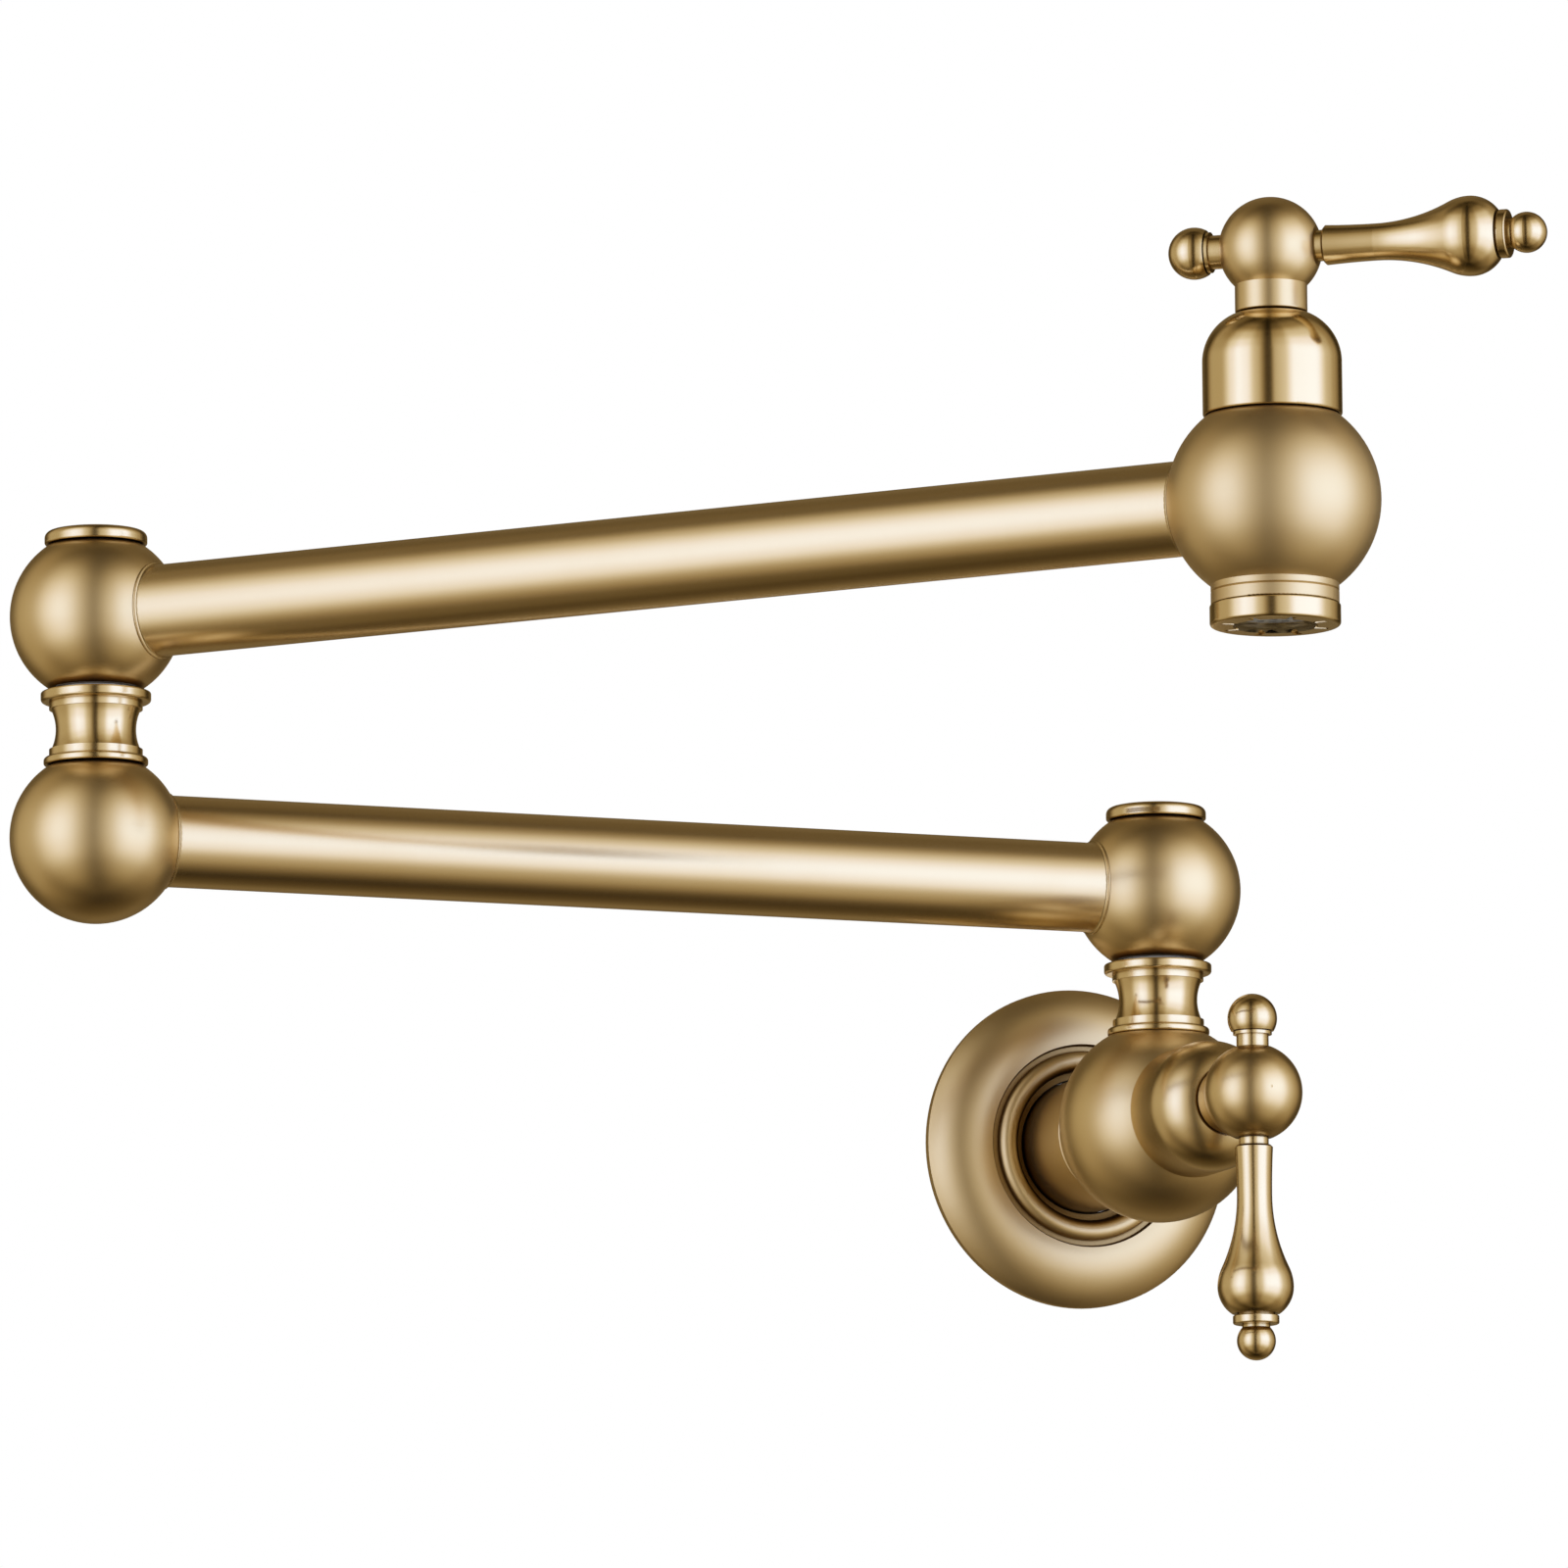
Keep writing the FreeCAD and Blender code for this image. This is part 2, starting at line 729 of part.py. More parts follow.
def valve_body():
    """The ball at the wall, its shank with the inlet thread, and the flat that carries the column."""
    face_edge = level_on_ball(s.valve_ball_radius, valve_face)
    shank_meets = -level_on_ball(s.valve_ball_radius, s.shank_radius)
    seam = shank_meets - s.seam_from_ball
    inlet_end = -s.wall_offset + s.inlet_depth
    strainer_end = inlet_end + s.strainer_seat_depth
    outline = [
        (s.inlet_radius, -s.wall_offset),
        (s.shank_radius, -s.wall_offset),
        (s.shank_radius, seam - s.seam_width),
        (s.shank_radius - s.seam_depth, seam - s.seam_width / 2),
        (s.shank_radius, seam),
        (s.shank_radius, shank_meets),
        Arc(face_edge, valve_face, s.valve_ball_radius, True),
        *valve_socket(),
        (s.seat_hole_radius, s.seat_level - s.seat_floor),
        (s.passage_radius, s.seat_level - s.seat_floor),
        (s.passage_radius, strainer_end),
        (s.strainer_seat_radius, strainer_end),
        (s.strainer_seat_radius, inlet_end),
        (s.inlet_radius, inlet_end),
    ]
    body = turned("valve_body", outline, WALL_VALVE)
    rim = level_on_ball(s.valve_ball_radius, valve_side_flat) + CLEAR
    floor = valve_side_flat - s.post_thread_depth - s.edge
    column = [(ZERO, ZERO), (s.post_bore, ZERO), (s.post_bore, floor), (joint_bore, floor),
              (joint_bore, valve_side_flat), (rim, valve_side_flat),
              (rim, s.valve_ball_radius + CLEAR), (ZERO, s.valve_ball_radius + CLEAR)]
    bore(body, "column_socket", backwards(column))
    washer = s.strainer_seat_radius - s.running_gap
    low = inlet_end + s.running_gap
    high = low + s.inlet_washer_thickness
    turned("inlet_washer", tube_shape(washer, s.passage_radius, low, high), WALL_VALVE)
    top = strainer_end - s.running_gap
    screen = turned("inlet_strainer", disc_shape(washer, high + s.o_ring_gap, top), WALL_VALVE)
    for ring, count in ((1, 6), (2, 12)):
        hole = drill(screen, f"strainer_hole_{ring}", s.strainer_hole_pitch * ring, s.strainer_hole_radius)
        repeat(screen, hole, count, 360)


def spout_body():
    """The ball at the spout with its cartridge socket, tube socket and threaded outlet."""
    face_edge = level_on_ball(s.valve_ball_radius, valve_face)
    outlet_meets = -level_on_ball(s.valve_ball_radius, s.outlet_radius)
    groove_top = -(outlet_end - s.outlet_groove_up)
    outline = [
        (s.outlet_thread_radius, -outlet_end),
        Corner(s.outlet_radius, -outlet_end, s.edge * 0.6),
        (s.outlet_radius, groove_top),
        (s.outlet_radius - s.edge * 0.5, groove_top + s.edge * 0.5),
        (s.outlet_radius, groove_top + s.edge),
        (s.outlet_radius, outlet_meets),
        Arc(face_edge, valve_face, s.valve_ball_radius, True),
        *valve_socket(),
        (s.seat_hole_radius, -s.outlet_thread_top),
        (s.outlet_thread_radius, -s.outlet_thread_top),
    ]
    body = turned("spout_body", outline, SPOUT)
    socket = tube_socket(s.valve_ball_radius, s.spout_socket, s.chamber_radius - CLEAR)
    bore(body, "spout_body_socket", backwards(socket))


def cartridge(name, frame, handle_frame):
    """A quarter turn ceramic cartridge: a fixed part in the valve ball, and a spindle that turns in it."""
    spindle_bore = s.spindle_radius + s.running_gap
    cage_inner = cage_radius - s.cage_wall
    shell = turned(name + "_housing_turned", [
        (cage_inner, seal_top - CLEAR),
        (cage_radius, seal_top - CLEAR),
        (cage_radius, s.thread_level + s.running_gap),
        (s.thread_radius - s.running_gap, s.thread_level + s.running_gap),
        (s.thread_radius - s.running_gap, valve_face + s.running_gap),
        (s.thread_radius + s.edge, valve_face + s.running_gap),
        (s.thread_radius + s.edge, hex_top),
        (s.barrel_radius, hex_top),
        (s.barrel_radius, barrel_top),
        (spindle_bore, barrel_top),
        (spindle_bore, s.spindle_flange_top + s.running_gap * 2),
        (cage_inner, s.spindle_flange_top + s.running_gap * 2),
    ], frame)
    PARTS.remove(shell)
    reach = s.chamber_radius + CLEAR
    window = bore(shell, name + "_window", disc_shape(s.disc_hole_radius, -reach, reach))
    repeat(shell, window, 2, 90)
    nut = doc.addObject("Part::Prism", name + "_housing_hex")
    nut.Polygon = 6
    nut.setExpression("Circumradius", s.hex_radius.text)
    nut.setExpression("Height", (s.hex_height - s.running_gap).text)
    Raised(frame, valve_face + s.running_gap).put(nut)
    hole = doc.addObject("Part::Cylinder", name + "_housing_hex_hole")
    hole.setExpression("Radius", (s.thread_radius - s.edge).text)
    hole.setExpression("Height", s.hex_height.text)
    Raised(frame, valve_face + s.running_gap).put(hole)
    flats = doc.addObject("Part::Cut", name + "_housing_flats")
    flats.Base, flats.Tool = nut, hole
    housing = doc.addObject("Part::Fuse", name + "_housing")
    housing.Base, housing.Tool = shell, flats
    housing.Label = name + "_housing"
    PARTS.append(housing)

    seal = tube_shape(disc_radius, s.seat_hole_radius, s.seat_level + s.o_ring_gap, seal_top - s.o_ring_gap)
    turned(name + "_seat_seal", seal, frame)
    for word, low, high, where in (("fixed", seal_top, lower_disc_top - s.o_ring_gap, frame),
                                   ("moving", lower_disc_top, upper_disc_top - s.o_ring_gap, handle_frame)):
        disc = turned(f"{name}_{word}_disc", disc_shape(disc_radius, low, high), where)
        hole = drill(disc, f"{name}_{word}_disc_hole", s.disc_hole_offset, s.disc_hole_radius)
        repeat(disc, hole, 2, 360)

    groove = spindle_bore - s.o_ring_gap * 2 - s.o_ring_section * 2
    clip_low = barrel_top + s.running_gap
    clip_groove = s.spindle_radius - s.edge
    turned(name + "_spindle", [
        (ZERO, upper_disc_top),
        (disc_radius, upper_disc_top),
        (disc_radius, s.spindle_flange_top),
        (s.spindle_radius, s.spindle_flange_top),
        (s.spindle_radius, spindle_seal_level - s.groove_half),
        (groove, spindle_seal_level - s.groove_half),
        (groove, spindle_seal_level + s.groove_half),
        (s.spindle_radius, spindle_seal_level + s.groove_half),
        (s.spindle_radius, clip_low),
        (clip_groove, clip_low),
        (clip_groove, clip_low + s.clip_thickness + s.running_gap),
        (s.spindle_radius, clip_low + s.clip_thickness + s.running_gap),
        (s.spindle_radius, spindle_top),
        (ZERO, spindle_top),
    ], handle_frame)
    soft_ring(name + "_spindle_seal", spindle_bore - s.o_ring_gap - s.o_ring_section, s.o_ring_section,
              spindle_seal_level, handle_frame)
    clip = turned(name + "_spindle_clip",
                  tube_shape(s.clip_radius, clip_groove + s.o_ring_gap, clip_low + s.o_ring_gap,
                             clip_low + s.clip_thickness), handle_frame)
    slot(clip, name + "_clip_gap", s.clip_radius + CLEAR, s.circlip_gap)


def bonnet(label, frame):
    """The bell shaped cover over a cartridge, threaded onto its barrel."""
    thread = s.barrel_radius + s.running_gap
    inner = s.bonnet_radius - s.bonnet_wall
    inner_curve = s.bonnet_dome_radius - s.bonnet_wall
    shelf = dome_base + level_on_ball(inner_curve, thread + s.bonnet_wall - dome_centre)
    outline = [
        (inner, bonnet_base),
        Corner(s.bonnet_radius, bonnet_base),
        (s.bonnet_radius, dome_base),
        Arc(bonnet_lip, bonnet_top, s.bonnet_dome_radius, True),
        (thread, bonnet_top),
        (thread, shelf - s.bonnet_wall),
        (thread + s.bonnet_wall, shelf - s.bonnet_wall),
        (thread + s.bonnet_wall, shelf),
        Arc(inner, dome_base, inner_curve, False),
    ]
    return turned(label, outline, frame)


def handle(name, frame):
    """A lever handle: the hub on the spindle, the lever and its counterweight finial along X, a set screw."""
    neck_meets = hub_level - level_on_ball(s.hub_radius, s.neck_radius)
    bore_radius = s.spindle_radius + s.o_ring_gap
    hub = turned(name + "_hub", [
        (bore_radius, neck_base),
        Corner(s.neck_radius, neck_base),
        (s.neck_radius, neck_meets),
        Arc(s.hub_radius, hub_level, s.hub_radius, True),
        Arc(ZERO, hub_level + s.hub_radius, s.hub_radius, True),
        (ZERO, spindle_top + s.running_gap),
        (bore_radius, spindle_top + s.running_gap),
    ], frame)
    hole = s.stud_radius + s.o_ring_gap
    start = s.stud_start - s.running_gap
    for word, sign in (("lever", 1), ("finial", -1)):
        inner, flat, outer = start * sign, s.hub_flat * sign, (s.hub_radius + CLEAR) * sign
        side_hole(hub, f"{name}_{word}_hole", [
            (ZERO, inner), (hole, inner), (hole, flat),
            (s.lever_root_radius, flat), (s.lever_root_radius, outer), (ZERO, outer),
        ], hub_level)
    screw_hole = s.set_screw_radius + s.o_ring_gap
    screw_line = disc_shape(screw_hole, -s.spindle_radius, -(s.neck_radius + CLEAR))
    side_hole(hub, name + "_screw_hole", screw_line, hub_level - s.set_screw_drop)

    across = Raised(frame, hub_level)
    rest = s.hub_flat + s.running_gap
    root_at = rest + s.lever_neck_length
    swell = (s.lever_waist_radius - s.lever_bulge_radius)
    rise = s.lever_bulge_at - s.lever_waist_at
    curves = (swell * swell + rise * rise) / (-swell * 2)
    turn_radius = s.lever_bulge_radius - s.lever_bulge_curve
    share = s.lever_bulge_curve / curves
    meet_radius = turn_radius + (s.lever_waist_radius + curves - s.lever_bulge_radius) * share
    meet_at = s.lever_bulge_at - rise * share
    waist_run = s.lever_waist_at - root_at - s.edge
    root_curve = crest_radius(waist_run, s.lever_root_radius - s.lever_waist_radius)
    shoulder = s.lever_collar_at - s.edge
    end_curve = crest_radius(shoulder - s.lever_bulge_at, s.lever_bulge_radius - s.lever_shoulder_radius)
    collar_end = s.lever_collar_at + s.lever_collar_width
    tip_centre = s.lever_end - s.lever_tip_radius
    tip_meets = tip_centre - level_on_ball(s.lever_tip_radius, s.lever_tip_neck_radius)
    turned(name + "_lever", [
        (ZERO, s.stud_start),
        (s.stud_radius, s.stud_start),
        (s.stud_radius, rest),
        (s.lever_neck_radius, rest),
        (s.lever_neck_radius, root_at),
        (s.lever_root_radius - s.edge, root_at),
        (s.lever_root_radius, root_at + s.edge),
        Arc(s.lever_waist_radius, s.lever_waist_at, root_curve, False),
        Arc(meet_radius, meet_at, curves - s.lever_bulge_curve, False),
        Arc(s.lever_bulge_radius, s.lever_bulge_at, s.lever_bulge_curve, True),
        Arc(s.lever_shoulder_radius, shoulder, end_curve, True),
        (s.lever_root_radius, shoulder),
        (s.lever_root_radius, s.lever_collar_at),
        Corner(s.lever_collar_radius, s.lever_collar_at, s.edge * 0.5),
        Corner(s.lever_collar_radius, collar_end),
        (s.lever_tip_neck_radius, collar_end),
        (s.lever_tip_neck_radius, tip_meets),
        Arc(s.lever_tip_radius, tip_centre, s.lever_tip_radius, True),
        Arc(ZERO, s.lever_end, s.lever_tip_radius, True),
    ], across, along_x=True)

    collar_top = s.finial_collar_at + s.finial_collar_width
    ball_centre = s.finial_end - s.finial_radius
    ball_start = collar_top + s.edge * 0.5
    ball_foot = level_on_ball(s.finial_radius, ball_centre - ball_start)
    turned(name + "_finial", mirrored([
        (ZERO, s.stud_start),
        (s.stud_radius, s.stud_start),
        (s.stud_radius, rest),
        (s.finial_neck_radius, rest),
        (s.finial_neck_radius, s.finial_collar_at),
        (s.finial_collar_radius, s.finial_collar_at),
        (s.finial_collar_radius, collar_top),
        (s.finial_neck_radius, collar_top),
        (s.finial_neck_radius, ball_start),
        (ball_foot, ball_start),
        Arc(s.finial_radius, ball_centre, s.finial_radius, True),
        Arc(ZERO, s.finial_end, s.finial_radius, True),
    ]), across, along_x=True)
    turned(name + "_set_screw", mirrored([
        (ZERO, s.spindle_radius + s.running_gap),
        (s.set_screw_radius, s.spindle_radius + s.running_gap),
        (s.set_screw_radius, s.neck_radius - s.edge),
        (s.edge * 2, s.neck_radius - s.edge),
        (s.edge * 2, s.neck_radius - s.edge * 4),
        (ZERO, s.neck_radius - s.edge * 4),
    ]), Raised(frame, hub_level - s.set_screw_drop), along_x=True)


def mirrored(outline):
    """The same turned outline, pointing the other way along its axis."""
    made = []
    for item in outline:
        radius, level = point_of(item)
        arc = isinstance(item, Arc)
        made.append(Arc(radius, -level, item.curve, not item.left) if arc else (radius, -level))
    return made


def side_hole(body, name, outline, level):
    """Cuts a round stepped hole along X at a level of a body."""
    sketch = sketch_in(body, name, "XZ_Plane")
    draw(sketch, outline, True)
    sketch.AttachmentOffset = FreeCAD.Placement(FreeCAD.Vector(0, level.value, 0), FreeCAD.Rotation())
    sketch.setExpression("AttachmentOffset.Base.y", level.text)
    doc.recompute()
    cut = body.newObject("PartDesign::Groove", name + "_cut")
    cut.Profile = sketch
    cut.ReferenceAxis = (sketch, ["H_Axis"])
    cut.Angle = 360
    sketch.Visibility = False
    return cut


# ---------------------------------------------------------------- escutcheon

def escutcheon():
    """The domed plate against the wall, hollow behind, with a round bead about the shank."""
    collar_bore = s.shank_radius + s.collar_bore_gap
    bead_inner = collar_bore + s.bead_recess
    bead_outer = bead_inner + s.bead_width
    dome_inner = bead_outer + s.bead_valley
    valley = s.dome_height - s.edge * 2
    rim_inner = s.escutcheon_radius - s.escutcheon_land
    gasket_room = s.gasket_thickness + s.running_gap * 2
    under = s.dome_height - s.escutcheon_wall
    dome_out = sagged(s.escutcheon_radius - dome_inner, s.dome_height - s.escutcheon_rim, s.dome_sag)
    dome_in = sagged(rim_inner - dome_inner, under - gasket_room, s.dome_sag)
    seal_out = s.shank_radius + s.o_ring_gap + s.o_ring_section * 2 + s.o_ring_gap
    skirt = collar_bore + s.collar_skirt
    ledge = s.bead_height - s.bead_depth
    turned("escutcheon", [
        Arc(rim_inner, gasket_room, dome_in, False),
        (rim_inner, ZERO),
        (s.escutcheon_radius, ZERO),
        (s.escutcheon_radius, s.escutcheon_rim),
        Arc(dome_inner, s.dome_height, dome_out, True),
        (dome_inner - s.edge, valley),
        (bead_outer, valley),
        Corner(bead_outer, s.bead_height, s.bead_crown),
        Corner(bead_inner, s.bead_height, s.bead_crown),
        (bead_inner, ledge),
        (collar_bore, ledge),
        (collar_bore, s.collar_seal_level + s.groove_half),
        (seal_out, s.collar_seal_level + s.groove_half),
        (seal_out, s.collar_seal_level - s.groove_half),
        (collar_bore, s.collar_seal_level - s.groove_half),
        (collar_bore, s.collar_back),
        (skirt, s.collar_back),
        (skirt, under),
        (dome_inner, under),
    ], WALL)
    soft_ring("escutcheon_seal", s.shank_radius + s.o_ring_gap + s.o_ring_section, s.o_ring_section,
              s.collar_seal_level, WALL)
    outer = rim_inner - s.running_gap * 3
    foam = tube_shape(outer, outer - s.gasket_width, s.o_ring_gap, s.gasket_thickness)
    turned("escutcheon_gasket", foam, WALL)


# ---------------------------------------------------------------- aerator

def aerator():
    """The screwed shell, its rubber gasket and the perforated insert that breaks up the water."""
    thread = s.outlet_thread_radius - s.running_gap
    inner = thread - s.aerator_wall
    seat = -(outlet_end + s.running_gap * 2)
    gasket_top = -(s.outlet_thread_top + s.o_ring_gap)
    shell_top = gasket_top - s.aerator_gasket_thickness - s.o_ring_gap
    shell = turned("aerator_shell", [
        (inner, -aerator_end + s.aerator_lip),
        (inner - s.aerator_lip * 0.5, -aerator_end),
        Corner(s.aerator_radius, -aerator_end, s.edge * 1.6),
        Corner(s.aerator_radius, seat, s.edge * 0.6),
        (thread, seat),
        (thread, shell_top),
        (inner, shell_top),
    ], SPOUT)
    notch = side_hole(shell, "key_notch", [
        (ZERO, inner - s.aerator_lip), (s.notch_radius, inner - s.aerator_lip),
        (s.notch_radius, inner + s.notch_length), (ZERO, inner + s.notch_length),
    ], -aerator_end)
    repeat(shell, notch, KEY_NOTCHES, 360)
    gasket = tube_shape(thread, inner - s.aerator_wall, shell_top + s.o_ring_gap, gasket_top)
    turned("aerator_gasket", gasket, SPOUT)
    low = -aerator_end + s.aerator_lip + s.aerator_insert_drop
    insert_radius = inner - s.running_gap
    insert = turned("aerator_insert", disc_shape(insert_radius, low, low + s.aerator_insert_height), SPOUT)
    outermost = insert_radius - s.aerator_hole_edge
    for ring, count in ((1, 6), (2, 12), (3, 18)):
        hole = drill(insert, f"aerator_hole_{ring}", outermost * ring / 3, s.aerator_hole_radius)
        repeat(insert, hole, count, 360)


# ---------------------------------------------------------------- the whole object

def build():
    escutcheon()
    valve_body()
    cartridge("wall", WALL_VALVE, WALL_VALVE)
    bonnet("wall_bonnet", WALL_VALVE)
    handle("wall", WALL_VALVE)
    swivel_post("wall", WALL_SWIVEL)
    swivel_ball("arm_1_ball", ARM_1)
    joint_cap("arm_1_cap", ARM_1)
    arm_tube("arm_1_tube", s.arm_1_length, s.joint_socket, ARM_1)
    elbow_ball()
    swivel_post("elbow", ELBOW_SWIVEL)
    swivel_ball("arm_2_ball", ARM_2)
    joint_cap("arm_2_cap", ARM_2)
    arm_tube("arm_2_tube", s.arm_2_length, s.spout_socket, ARM_2)
    spout_body()
    cartridge("spout", SPOUT, SPOUT_VALVE)
    bonnet("spout_bonnet", SPOUT)
    handle("spout", SPOUT_VALVE)
    aerator()


def check():
    """Stops if any object failed or any piece isn't a sound solid."""
    for item in doc.Objects:
        if "Invalid" in item.State or "Error" in item.State:
            raise RuntimeError(f"{item.Label} failed: {item.State}")
    for piece in PARTS:
        if piece.Shape.isNull() or not piece.Shape.isValid() or piece.Shape.Volume <= 0:
            raise RuntimeError(f"{piece.Label} is not a sound solid")


build()
doc.recompute()
check()
os.makedirs("parts", exist_ok=True)
for part in PARTS:
    part.Shape.exportStep(os.path.join("parts", part.Label + ".step"))
print(len(PARTS), "pieces")
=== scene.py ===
"""Looks of the wall mounted pot filler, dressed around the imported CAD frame."""

import json
import math

import bpy
from mathutils import Matrix, Vector


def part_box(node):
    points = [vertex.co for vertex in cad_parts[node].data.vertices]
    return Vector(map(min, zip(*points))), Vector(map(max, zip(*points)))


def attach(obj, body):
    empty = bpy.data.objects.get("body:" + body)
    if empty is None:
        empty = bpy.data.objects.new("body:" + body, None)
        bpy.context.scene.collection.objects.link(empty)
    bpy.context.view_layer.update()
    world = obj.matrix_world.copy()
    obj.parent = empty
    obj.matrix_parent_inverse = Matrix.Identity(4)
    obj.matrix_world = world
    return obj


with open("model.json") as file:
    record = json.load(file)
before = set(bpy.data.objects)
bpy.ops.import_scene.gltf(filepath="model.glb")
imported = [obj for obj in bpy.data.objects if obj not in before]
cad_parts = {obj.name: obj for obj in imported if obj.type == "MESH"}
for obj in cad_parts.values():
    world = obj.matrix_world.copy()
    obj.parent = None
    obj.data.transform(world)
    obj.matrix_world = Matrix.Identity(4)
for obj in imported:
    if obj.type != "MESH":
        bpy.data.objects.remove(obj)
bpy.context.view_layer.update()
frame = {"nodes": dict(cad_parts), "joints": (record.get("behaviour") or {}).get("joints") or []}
nodes = frame["nodes"]
scene = bpy.context.scene
MM = 0.001
UP = Vector((0, 0, 1))
DOWN = -UP
OUT = Vector((0, -1, 0))


# ---------------------------------------------------------------- places, read from the frame

def middle(node):
    """The middle of a CAD node's box."""
    low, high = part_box(node)
    return (low + high) / 2


joints = {joint["name"]: joint for joint in frame["joints"]}
INLET = Vector((0, 0, 0))
WALL_AXIS = Vector(joints["lower_arm_swivel"]["pos_m"])
ELBOW_AXIS = Vector(joints["elbow_swivel"]["pos_m"])
SPOUT_AXIS = Vector(joints["spout_handle_turn"]["pos_m"])
WALL_HUB = middle("wall_hub")
SPOUT_HUB = middle("spout_hub")
LOWER_ELBOW = Vector((ELBOW_AXIS.x, ELBOW_AXIS.y, WALL_AXIS.z))
ARM_1 = (LOWER_ELBOW - WALL_AXIS).normalized()
ARM_2 = (SPOUT_AXIS - ELBOW_AXIS).normalized()
SPOUT_LEVER = middle("spout_lever") - middle("spout_finial")
SPOUT_LEVER.z = 0
SPOUT_LEVER.normalize()


# ---------------------------------------------------------------- node trees

MIX_COLOURS = (6, 7)    # the colour inputs of a Mix node, which has a set of sockets for each type
MIX_RESULT = 2
PAINTED_SHADE_POWERS = (1.0, 1.22, 1.7)    # how fast red, green and blue fade in a crevice under painted shade


class Nodes:
    """A short way to write a node tree."""

    def __init__(self, tree):
        self.tree = tree

    def put(self, socket, value):
        """Links another node's output to a socket, or sets the socket to a constant."""
        if isinstance(value, bpy.types.NodeSocket):
            self.tree.links.new(value, socket)
        else:
            socket.default_value = value

    def add(self, kind, *inputs, sockets=None, **settings):
        """Adds a node. Inputs go to its sockets in order, and those in sockets go by name."""
        node = self.tree.nodes.new(kind)
        for key, value in settings.items():
            setattr(node, key, value)
        for socket, value in zip(node.inputs, inputs):
            self.put(socket, value)
        for name, value in (sockets or {}).items():
            self.put(node.inputs[name], value)
        return node

    def math(self, operation, *inputs):
        return self.add("ShaderNodeMath", *inputs, operation=operation).outputs[0]

    def vector(self, operation, *inputs):
        node = self.add("ShaderNodeVectorMath", *inputs, operation=operation)
        return node.outputs["Value" if operation == "DOT_PRODUCT" else "Vector"]

    def scaled(self, vector, amount):
        node = self.add("ShaderNodeVectorMath", vector, operation="SCALE", sockets={"Scale": amount})
        return node.outputs["Vector"]

    def here(self):
        """The place of a point, in the object's own coordinates."""
        return self.add("ShaderNodeTexCoord").outputs["Object"]

    def noise(self, vector, scale, detail, roughness=0.5):
        """Noise with this many swells per unit of the vector."""
        sockets = {"Vector": vector, "Scale": scale, "Detail": detail, "Roughness": roughness}
        return self.add("ShaderNodeTexNoise", sockets=sockets).outputs["Fac"]

    def spread(self, value, low, high, start, end):
        """Maps a value between start and end to one between low and high."""
        return self.add("ShaderNodeMapRange", value, start, end, low, high).outputs[0]

    def share(self, value, start, end):
        """How far a value is on its way from start to end, from 0 to 1."""
        return self.spread(value, 0.0, 1.0, start, end)

    def mixed(self, factor, *colours):
        node = self.add("ShaderNodeMix", factor, data_type="RGBA")
        for place, colour in zip(MIX_COLOURS, colours):
            node.inputs[place].default_value = (*colour, 1)
        return node.outputs[MIX_RESULT]

    def painted_crevice_shade(self, colour, amount):
        """Paints shade into a colour for a crevice, darkening blue most and red least."""
        parts = self.add("ShaderNodeSeparateColor", colour).outputs
        darker = [self.math("MULTIPLY", part, self.math("POWER", amount, power))
                  for part, power in zip(parts, PAINTED_SHADE_POWERS)]
        return self.add("ShaderNodeCombineColor", *darker).outputs[0]

    def ramp(self, value, stops, kind="EASE"):
        """Greys or colours along a value from 0 to 1, from stops of (place, level)."""
        node = self.add("ShaderNodeValToRGB", value)
        node.color_ramp.interpolation = kind
        elements = node.color_ramp.elements
        while len(elements) < len(stops):
            elements.new(0.5)
        for element, (place, level) in zip(elements, stops):
            element.position = place
            element.color = level if isinstance(level, tuple) else (level, level, level, 1)
        return node.outputs[0]


class Material(Nodes):
    """A material with its principled shader."""

    def __init__(self, name):
        self.material = bpy.data.materials.new(name)
        self.material.use_nodes = True
        super().__init__(self.material.node_tree)
        self.shader = self.tree.nodes["Principled BSDF"]

    def feed(self, **values):
        """Feeds the shader's sockets, named with _ in place of a space."""
        for name, value in values.items():
            self.put(self.shader.inputs[name.replace("_", " ")], value)


# ---------------------------------------------------------------- materials

BRASS = (0.755, 0.585, 0.315)
BRASS_DEEP = (0.72, 0.535, 0.265)
COAT = dict(Coat_Weight=0.04, Coat_Roughness=0.18)
PAINTED_SHADE_DEEPEST = 0.2                       # what painted shade leaves of the colour in a closed crevice
OCCLUSION_SAMPLES = 8
LINES_AROUND = 0.9                  # the brushed lines hardly change round the axis
LINES_ALONG = 1800.0                # and change this many times per metre along it
LINES = dict(scale=1.0, detail=3.0, roughness=0.65)
LINES_TONE = 0.45                   # their share in the changes of tone
LINES_SMOOTHER, LINES_ROUGHER = 0.05, 0.06    # how far full lines change the roughness
BROAD = dict(scale=38.0, detail=2.0)
BROAD_TONE = 0.55
TONES = (0.3, 0.72)                 # the tones at which the colour is all base and all deep
NOISE = (0.3, 0.7)                  # nearly all of a noise lies between these
GRAIN_TONES = (0.35, 0.65)
GRAIN_DETAIL = 3.0
GRAIN_DARKER = 0.82
GRAIN_ROUGHNESS = 0.06
GRAIN_BUMP = 0.25


